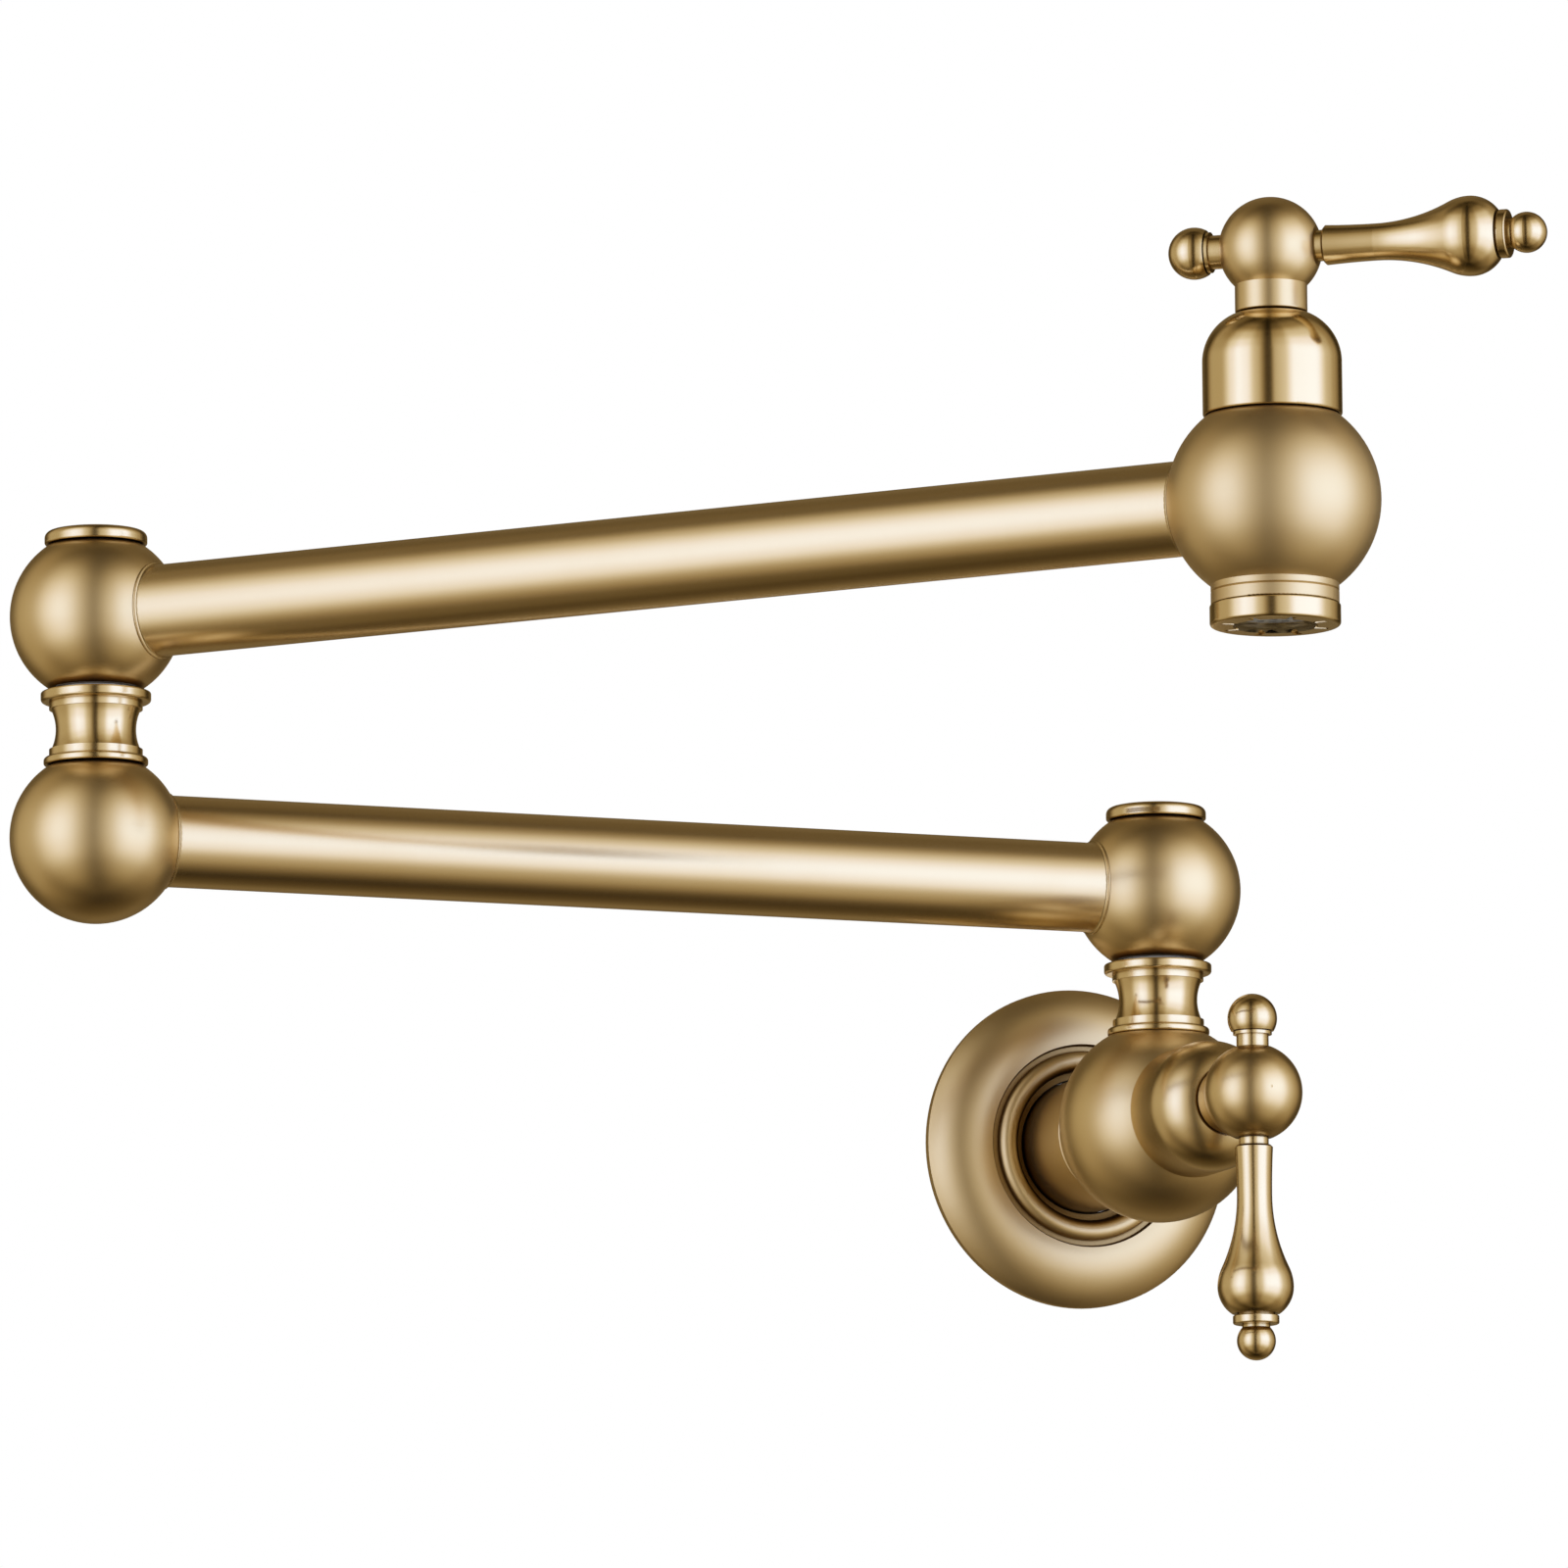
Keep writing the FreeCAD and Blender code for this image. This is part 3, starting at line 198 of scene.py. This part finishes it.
def turned_metal(name, centre, axis, base=BRASS, deep=BRASS_DEEP, rough=0.24, aniso=0.5, lines=0.3,
                 painted_shade_reach=0.004, painted_shade_sky=(0.15, 0.75)):
    """Satin metal brushed round the axis it was turned on, with fine lines and slight changes of tone.

    Its colour has painted shade in crevices, from ambient occlusion: the reach in metres that counts and
    the share of open sky that leaves the darkest and the full colour are the last two arguments.
    """
    m = Material(name)
    axis = tuple(Vector(axis).normalized())
    place = m.here()
    away = m.vector("SUBTRACT", place, tuple(centre))
    along = m.vector("DOT_PRODUCT", away, axis)
    turn = m.vector("NORMALIZE", m.vector("SUBTRACT", away, m.scaled(axis, along)))
    brushed = m.vector("ADD", m.scaled(turn, LINES_AROUND),
                       m.scaled(axis, m.math("MULTIPLY", along, LINES_ALONG)))
    fine = m.noise(brushed, **LINES)
    tone = m.math("ADD", m.math("MULTIPLY", fine, LINES_TONE * lines),
                  m.math("MULTIPLY", m.noise(place, **BROAD), BROAD_TONE))
    metal = m.mixed(m.share(tone, *TONES), base, deep)
    # Painted shade: ambient occlusion darkens the base colour in crevices, under any light.
    occlusion = m.add("ShaderNodeAmbientOcclusion", sockets={"Distance": painted_shade_reach}, samples=OCCLUSION_SAMPLES)
    painted_shade_factor = m.spread(occlusion.outputs["AO"], PAINTED_SHADE_DEEPEST, 1.0, *painted_shade_sky)
    tangent = m.add("ShaderNodeVectorTransform", m.vector("CROSS_PRODUCT", axis, turn),
                    vector_type="VECTOR", convert_from="OBJECT", convert_to="WORLD").outputs[0]
    m.feed(Base_Color=m.painted_crevice_shade(metal, painted_shade_factor), Metallic=1.0,
           Roughness=m.spread(fine, rough - LINES_SMOOTHER * lines, rough + LINES_ROUGHER * lines, *NOISE),
           Anisotropic=aniso, Tangent=tangent, **COAT)
    return m.material


def moulded(name, colour, rough, grain=900.0, depth=0.00004):
    """Rubber, plastic or ceramic with a fine grain, that many per metre and that deep in metres."""
    m = Material(name)
    grainy = m.noise(m.here(), grain, GRAIN_DETAIL)
    darker = tuple(part * GRAIN_DARKER for part in colour)
    bump = m.add("ShaderNodeBump", sockets={"Strength": GRAIN_BUMP, "Distance": depth, "Height": grainy})
    m.feed(Base_Color=m.mixed(m.share(grainy, *GRAIN_TONES), colour, darker),
           Roughness=m.spread(grainy, rough - GRAIN_ROUGHNESS, rough + GRAIN_ROUGHNESS, *NOISE),
           Normal=bump.outputs[0])
    return m.material


def dress(name, material):
    """Gives a CAD node its material."""
    mesh = nodes[name].data
    mesh.materials.clear()
    mesh.materials.append(material)
    for face in mesh.polygons:
        face.material_index = 0


SATIN = dict(base=(0.765, 0.582, 0.295), deep=(0.73, 0.535, 0.25), aniso=0.2, lines=0.1)
BALL = dict(rough=0.33, **SATIN)
TUBE = dict(rough=0.26, aniso=0.35, lines=0.1)
POST = dict(rough=0.17, aniso=0.2, lines=0.1)
SMALL = dict(rough=0.19, aniso=0.3, lines=0.15)
BONNET = dict(aniso=0.2, lines=0.15)
# Painted shade reaches further on the wall plate, valve body, wall bonnet and, at 35 mm, the wall hub.
for node, centre, axis, look in (
        ("escutcheon", INLET, OUT, dict(rough=0.41, painted_shade_reach=0.010, painted_shade_sky=(0.42, 0.92), **SATIN)),
        ("valve_body", INLET, OUT, dict(rough=0.36, painted_shade_reach=0.005, **SATIN)),
        ("wall_bonnet", INLET, OUT, dict(rough=0.26, painted_shade_reach=0.012, **BONNET)),
        ("wall_hub", INLET, OUT, dict(rough=0.30, painted_shade_reach=0.035, painted_shade_sky=(0.60, 0.97), **SATIN)),
        ("wall_lever", WALL_HUB, DOWN, SMALL),
        ("wall_finial", WALL_HUB, DOWN, SMALL),
        ("wall_post", WALL_AXIS, UP, POST),
        ("arm_1_ball", WALL_AXIS, UP, BALL),
        ("arm_1_cap", WALL_AXIS, UP, SMALL),
        ("arm_1_tube", WALL_AXIS, ARM_1, TUBE),
        ("elbow_ball", LOWER_ELBOW, UP, BALL),
        ("elbow_post", ELBOW_AXIS, UP, POST),
        ("arm_2_ball", ELBOW_AXIS, UP, BALL),
        ("arm_2_cap", ELBOW_AXIS, UP, SMALL),
        ("arm_2_tube", ELBOW_AXIS, ARM_2, TUBE),
        ("spout_body", SPOUT_AXIS, UP, dict(rough=0.38, **SATIN)),
        ("spout_bonnet", SPOUT_AXIS, UP, dict(rough=0.15, **BONNET)),
        ("spout_hub", SPOUT_AXIS, UP, dict(rough=0.32, **SATIN)),
        ("spout_lever", SPOUT_HUB, SPOUT_LEVER, SMALL),
        ("spout_finial", SPOUT_HUB, SPOUT_LEVER, SMALL),
        ("aerator_shell", SPOUT_AXIS, UP, POST)):
    dress(node, turned_metal(node + "_brass", centre, axis, **look))

PLAIN = dict(base=(0.78, 0.60, 0.30), deep=(0.66, 0.47, 0.2), rough=0.32, aniso=0.3)
STEEL = dict(base=(0.62, 0.62, 0.61), deep=(0.5, 0.5, 0.5), rough=0.3, aniso=0.3)
for node, centre, axis, kind, look in (
        ("wall_housing", INLET, OUT, "_plain", PLAIN),
        ("wall_spindle", INLET, OUT, "_plain", PLAIN),
        ("spout_housing", SPOUT_AXIS, UP, "_plain", PLAIN),
        ("spout_spindle", SPOUT_AXIS, UP, "_plain", PLAIN),
        ("inlet_strainer", INLET, OUT, "_steel", STEEL),
        ("wall_set_screw", WALL_HUB, DOWN, "_steel", STEEL),
        ("spout_set_screw", SPOUT_HUB, SPOUT_LEVER, "_steel", STEEL),
        ("wall_spindle_clip", INLET, OUT, "_steel", STEEL),
        ("spout_spindle_clip", SPOUT_AXIS, UP, "_steel", STEEL),
        ("wall_circlip", WALL_AXIS, UP, "_steel", STEEL),
        ("elbow_circlip", ELBOW_AXIS, UP, "_steel", STEEL)):
    dress(node, turned_metal(node + kind, centre, axis, **look))

for material, names in (
        (moulded("black_rubber", (0.022, 0.022, 0.023), 0.62),
         "escutcheon_seal escutcheon_gasket inlet_washer wall_seat_seal wall_spindle_seal wall_post_seals "
         "elbow_post_seals spout_seat_seal spout_spindle_seal aerator_gasket"),
        (moulded("white_ceramic", (0.80, 0.79, 0.76), 0.16, grain=300.0, depth=0.000005),
         "wall_fixed_disc wall_moving_disc spout_fixed_disc spout_moving_disc"),
        (moulded("white_acetal", (0.78, 0.77, 0.74), 0.42),
         "wall_glide_washer wall_thrust_washer elbow_glide_washer elbow_thrust_washer"),
        (moulded("grey_acetal", (0.20, 0.19, 0.17), 0.45),
         "aerator_insert")):
    for node in names.split():
        dress(node, material)


# ---------------------------------------------------------------- brazed fillets, in millimetres

FILLET_REACH = 0.6      # how far a fillet stands out from the tube
FILLET_SINK = 0.03      # how far it sinks into the tube and the ball
FILLET_LIFT = 0.12      # how far it starts above the ball where they meet
FILLET_SLOPE = 0.9      # its length along the tube, as a share of its reach
FILLET_STEPS = 8
RING_STEPS = 160
STEEP = 0.9             # an axis with more rise than this counts as upright


def basis(axis):
    """Two directions square to an axis."""
    side = axis.cross(UP) if abs(axis.z) < STEEP else axis.cross(Vector((1, 0, 0)))
    side.normalize()
    return side, axis.cross(side).normalized()


def ring(name, body, centre, axis, outline, look):
    """A ring turned about an axis from a closed outline of (radius, level)."""
    u, v = basis(axis)
    count = len(outline)
    points = []
    faces = []
    for k in range(RING_STEPS):
        angle = 2 * math.pi * k / RING_STEPS
        radial = u * math.cos(angle) + v * math.sin(angle)
        for radius, level in outline:
            points.append(centre + radial * radius * MM + axis * level * MM)
        for i in range(count):
            j = (i + 1) % count
            n = (k + 1) % RING_STEPS
            faces.append((k * count + i, k * count + j, n * count + j, n * count + i))
    mesh = bpy.data.meshes.new(name)
    mesh.from_pydata(points, [], faces)
    mesh.update()
    mesh.materials.append(look)
    piece = bpy.data.objects.new(name, mesh)
    scene.collection.objects.link(piece)
    for face in mesh.polygons:
        face.use_smooth = True
    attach(piece, body)


def fillet_outline(tube_radius, ball_radius):
    """The outline of a fillet between a tube and the ball it enters, with levels from the ball's centre."""
    start = math.sqrt(ball_radius ** 2 - tube_radius ** 2)
    inner = tube_radius - FILLET_SINK
    rim = tube_radius + FILLET_REACH
    on_ball = math.sqrt(ball_radius ** 2 - rim ** 2) - FILLET_SINK
    outline = [(inner, on_ball), (rim, on_ball)]
    for k in range(FILLET_STEPS + 1):
        angle = math.pi / 2 * k / FILLET_STEPS
        rise = FILLET_REACH * (1 - math.cos(angle)) * FILLET_SLOPE
        outline.append((rim - FILLET_REACH * math.sin(angle), start + rise + FILLET_LIFT))
    outline.append((inner, start + FILLET_REACH * FILLET_SLOPE + FILLET_LIFT))
    return outline


low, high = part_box("arm_1_tube")
TUBE_RADIUS = (high.z - low.z) / 2 / MM
BALL_RADIUS = (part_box("arm_1_ball")[1].x - WALL_AXIS.x) / MM
VALVE_BALL_RADIUS = (SPOUT_AXIS.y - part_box("spout_body")[0].y) / MM
for name, body, centre, axis, ball_radius in (
        ("fillet_lower_inner", "lower_arm", WALL_AXIS, ARM_1, BALL_RADIUS),
        ("fillet_lower_outer", "lower_arm", LOWER_ELBOW, -ARM_1, BALL_RADIUS),
        ("fillet_upper_inner", "upper_arm", ELBOW_AXIS, ARM_2, BALL_RADIUS),
        ("fillet_upper_outer", "upper_arm", SPOUT_AXIS, -ARM_2, VALVE_BALL_RADIUS)):
    ring(name, body, centre, axis, fillet_outline(TUBE_RADIUS, ball_radius),
         turned_metal(name + "_brass", centre, axis, rough=0.26, aniso=0.4))


# ---------------------------------------------------------------- camera

AZIMUTH, ELEVATION, ROLL = (math.radians(angle) for angle in (-21.2647, -8.9098, -0.4378))
DISTANCE = 3.24826
TARGET = Vector((-0.1156445, -0.1, 0.0715569))
FOCAL = 13816.77        # in the photograph's pixels
PHOTO_WIDTH = 1600
SENSOR = 36.0
FAR = 50

back = Vector((math.sin(AZIMUTH) * math.cos(ELEVATION), -math.cos(AZIMUTH) * math.cos(ELEVATION),
               math.sin(ELEVATION)))
level_right = Vector((math.cos(AZIMUTH), math.sin(AZIMUTH), 0))
level_up = back.cross(level_right)
right = level_right * math.cos(ROLL) + level_up * math.sin(ROLL)
up = level_up * math.cos(ROLL) - level_right * math.sin(ROLL)
lens = bpy.data.cameras.new("camera")
lens.sensor_width = SENSOR
lens.lens = SENSOR * FOCAL / PHOTO_WIDTH
lens.clip_end = FAR
camera = bpy.data.objects.new("camera", lens)
camera.matrix_world = (Matrix.Translation(TARGET + back * DISTANCE)
                       @ Matrix((right, up, back)).transposed().to_4x4())
scene.collection.objects.link(camera)
scene.camera = camera


# ---------------------------------------------------------------- stage and light

scene.view_settings.view_transform = "Standard"
CENTRE = Vector((-0.11, -0.14, 0.06))
WHITE = (1, 1, 1, 1)
SOFT_GREY = (0.75, 0.75, 0.75, 1)


def plain_world():
    """White to the camera, to reflections and through glass, and a plain soft grey for the rest."""
    world = bpy.data.worlds.new("studio")
    world.use_nodes = True
    scene.world = world
    n = Nodes(world.node_tree)
    ray = n.add("ShaderNodeLightPath").outputs
    seen = n.math("MAXIMUM", ray["Is Camera Ray"], ray["Is Glossy Ray"])
    seen = n.math("MAXIMUM", seen, ray["Is Transmission Ray"])
    soft = n.tree.nodes["Background"]
    soft.inputs["Color"].default_value = SOFT_GREY
    white = n.add("ShaderNodeBackground", WHITE)
    mix = n.add("ShaderNodeMixShader", seen, soft.outputs[0], white.outputs[0])
    n.put(n.tree.nodes["World Output"].inputs["Surface"], mix.outputs[0])


# What the metal sees round the object, as (degrees, level) from the camera's side: two softboxes with
# a gap between them. Around runs from left to right, and above from below to overhead.
AROUND = ((-180, 0.10), (-140, 0.03), (-116, 0.30), (-90, 0.30), (-68, 0.76), (-54, 0.96), (-40, 0.88),
          (-24, 0.44), (-7, 0.02), (-1, 0.02), (6, 0.40), (18, 0.50), (36, 0.98), (72, 1.0), (98, 0.42),
          (118, 0.22), (140, 0.015), (180, 0.10))
ABOVE = ((-90, 0.05), (-72, 0.08), (-46, 0.29), (-16, 0.86), (2, 1.0), (16, 0.97), (30, 0.80), (46, 0.50),
         (62, 0.15), (78, 0.04), (90, 0.05))
# The faint light from behind, by height. Only the half of the tent away from the camera has it.
BEHIND = ((-90, 0.0), (-56, 0.03), (-32, 0.07), (-16, 0.0), (26, 0.0), (48, 0.05), (74, 0.08), (90, 0.0))
# The tent's colour at each level: warm where it is dim, and bluish and above white where it is bright,
# so that the highlights on the brass come out pale.
TINT = ((0.0, (0.0, 0.0, 0.0)), (0.035, (0.081, 0.054, 0.019)), (0.17, (0.365, 0.278, 0.15)),
        (0.30, (0.56, 0.49, 0.34)), (0.46, (0.78, 0.75, 0.70)), (0.60, (0.97, 0.99, 1.08)),
        (0.80, (1.20, 1.32, 1.92)), (1.0, (1.36, 1.68, 2.80)))
LIGHT = 2.7                 # the tent's strength, by which the tints are divided
TENT_RADIUS = 1.9
BACK_HALF = (-0.02, -0.3)   # how far a direction leans to the camera where that light starts and is full


def shares(stops, start, end):
    """Stops in degrees, as shares of the way from start to end."""
    return [((degrees - start) / (end - start), level) for degrees, level in stops]


def reflected_studio():
    """The softboxes and dark flags that the metal reflects: a round tent that only reflections see."""
    bpy.ops.mesh.primitive_uv_sphere_add(segments=96, ring_count=48, radius=TENT_RADIUS, location=CENTRE)
    tent = bpy.context.object
    tent.name = "reflected_studio"
    m = Material("reflected_studio")
    place = m.vector("NORMALIZE", m.here())
    across = m.vector("DOT_PRODUCT", place, tuple(level_right))
    toward = m.vector("DOT_PRODUCT", place, (math.sin(AZIMUTH), -math.cos(AZIMUTH), 0))
    angle = m.math("ARCTAN2", across, toward)
    height = m.math("ARCSINE", m.add("ShaderNodeSeparateXYZ", place).outputs[2])
    around = m.share(angle, -math.pi, math.pi)
    above = m.share(height, -math.pi / 2, math.pi / 2)
    softboxes = m.math("MULTIPLY", m.ramp(around, shares(AROUND, -180, 180)),
                       m.ramp(above, shares(ABOVE, -90, 90)))
    behind = m.math("MULTIPLY", m.ramp(above, shares(BEHIND, -90, 90)), m.share(toward, *BACK_HALF))
    tints = [(stop, (*(part / LIGHT for part in tone), 1)) for stop, tone in TINT]
    colour = m.ramp(m.math("ADD", softboxes, behind), tints, "LINEAR")
    glow = m.add("ShaderNodeEmission", colour, LIGHT)
    m.put(m.tree.nodes["Material Output"].inputs["Surface"], glow.outputs[0])
    m.tree.nodes.remove(m.shader)
    tent.data.materials.append(m.material)
    for sight in ("camera", "diffuse", "transmission", "shadow", "volume_scatter"):
        setattr(tent, "visible_" + sight, False)


FLOOR_SIZE = 14
FLOOR_LEVEL = -0.95
FLOOR_COLOURS = ((0.83, 0.83, 0.82), (0.87, 0.87, 0.86))
FLOOR_MOTTLE = dict(scale=3.0, detail=4.0)
FLOOR_ROUGHNESS = 0.9


def floor():
    """A plain pale floor, slightly mottled."""
    bpy.ops.mesh.primitive_plane_add(size=FLOOR_SIZE, location=(CENTRE.x, CENTRE.y, FLOOR_LEVEL))
    plane = bpy.context.object
    plane.name = "floor"
    m = Material("pale_floor")
    m.feed(Base_Color=m.mixed(m.noise(m.here(), **FLOOR_MOTTLE), *FLOOR_COLOURS), Roughness=FLOOR_ROUGHNESS)
    plane.data.materials.append(m.material)
    plane.visible_glossy = False


# (name, place, width and height in metres, power in watts)
LAMPS = (("soft_left", (-2.2, -2.0, 1.2), 1.6, 2.2, 26),
         ("soft_right", (1.5, -2.2, 1.2), 1.6, 2.2, 26),
         ("soft_top", (-0.1, -0.2, 2.4), 2.0, 2.0, 20))


def soft_lamp(name, place, width, height, power):
    """A softbox that faces the object and that reflections don't show."""
    lamp = bpy.data.lights.new(name, "AREA")
    lamp.shape = "RECTANGLE"
    lamp.size = width
    lamp.size_y = height
    lamp.energy = power
    holder = bpy.data.objects.new(name, lamp)
    holder.location = place
    holder.rotation_euler = (CENTRE - Vector(place)).to_track_quat("-Z", "Y").to_euler()
    holder.visible_glossy = False
    scene.collection.objects.link(holder)


plain_world()
reflected_studio()
floor()
for lamp in LAMPS:
    soft_lamp(*lamp)
